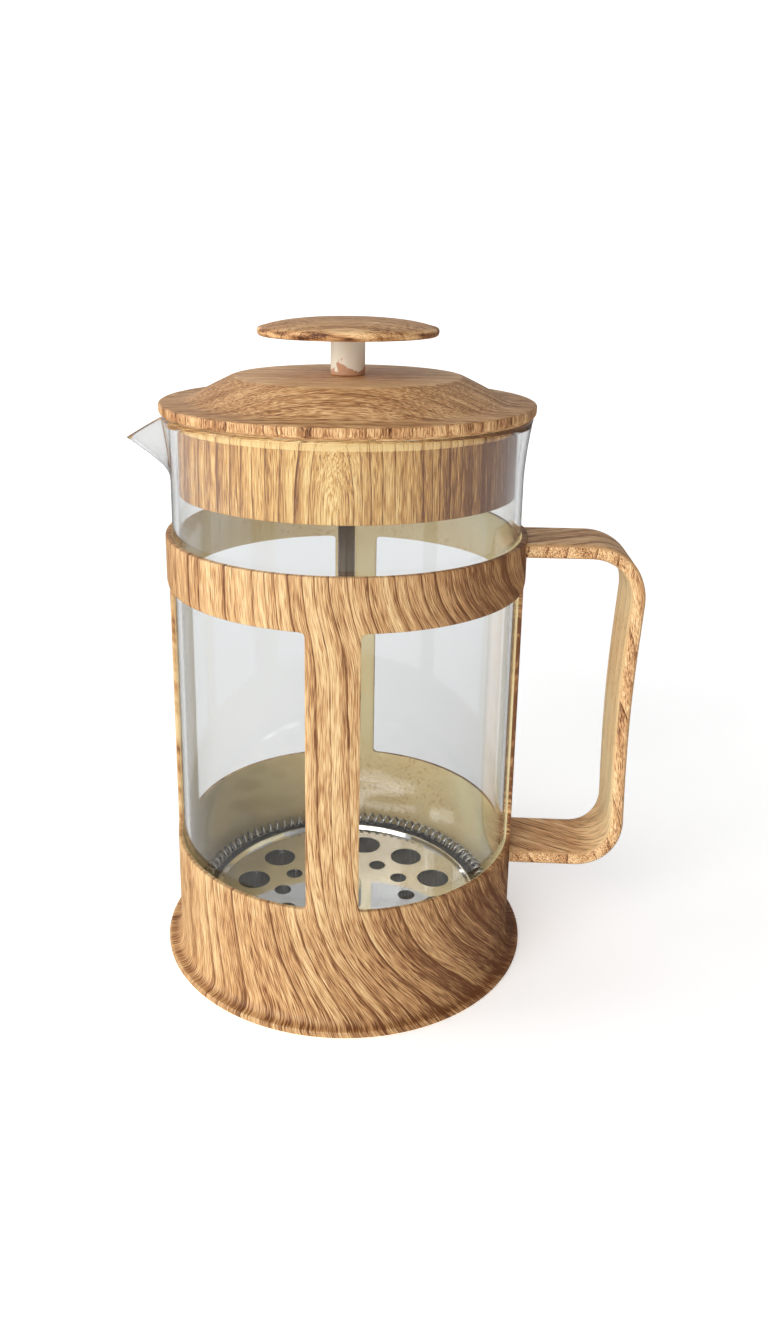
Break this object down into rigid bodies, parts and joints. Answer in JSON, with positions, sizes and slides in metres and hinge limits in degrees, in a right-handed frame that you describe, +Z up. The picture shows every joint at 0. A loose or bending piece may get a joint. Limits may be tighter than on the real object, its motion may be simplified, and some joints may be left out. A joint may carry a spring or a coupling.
{
  "type": "french press",
  "caption": "French press: glass beaker with a spout in a moulded cage with a handle, domed lid, and a plunger with a spring-edged filter stack.",
  "frame": {"origin": "centre of the cage's flat underside, on the beaker's axis", "axes": "+Z up along the beaker's axis, +X towards the handle, -X towards the spout"},
  "size_m": [0.1483, 0.111, 0.1907],
  "materials": {
    "grain_plastic": "satin plastic with a printed wood grain",
    "clear_glass": "clear borosilicate glass",
    "white_plastic": "unprinted off-white plastic",
    "polished_steel": "polished stainless steel",
    "woven_steel": "fine woven stainless wire",
    "brass": "machined brass"
  },
  "bodies": {
    "cage": {"base_cup": "grain_plastic", "rib_right": "grain_plastic", "rib_back": "grain_plastic", "rib_left": "grain_plastic", "rib_front": "grain_plastic", "upper_ring": "grain_plastic", "handle": "grain_plastic"},
    "glass": {"beaker": "clear_glass"},
    "lid": {"lid_cap": "grain_plastic", "lid_collar": "grain_plastic", "splash_plate": "polished_steel"},
    "plunger": {"knob": "grain_plastic", "knob_shank": "white_plastic", "knob_insert": "brass", "rod": "polished_steel", "rod_stop": "polished_steel", "top_plate": "polished_steel", "coil_spring": "polished_steel", "mesh_screen": "woven_steel", "cross_plate": "polished_steel", "clamp_nut": "polished_steel"}
  },
  "joints": [
    {"name": "beaker_lift", "type": "slide", "parent": "cage", "child": "glass", "axis": [0, 0, 1], "range_m": [0, 0.135]},
    {"name": "lid_lift", "type": "slide", "parent": "glass", "child": "lid", "axis": [0, 0, 1], "range_m": [0, 0.165]},
    {"name": "plunger_slide", "type": "slide", "parent": "lid", "child": "plunger", "axis": [0, 0, 1], "range_m": [0, 0.127]}
  ]
}
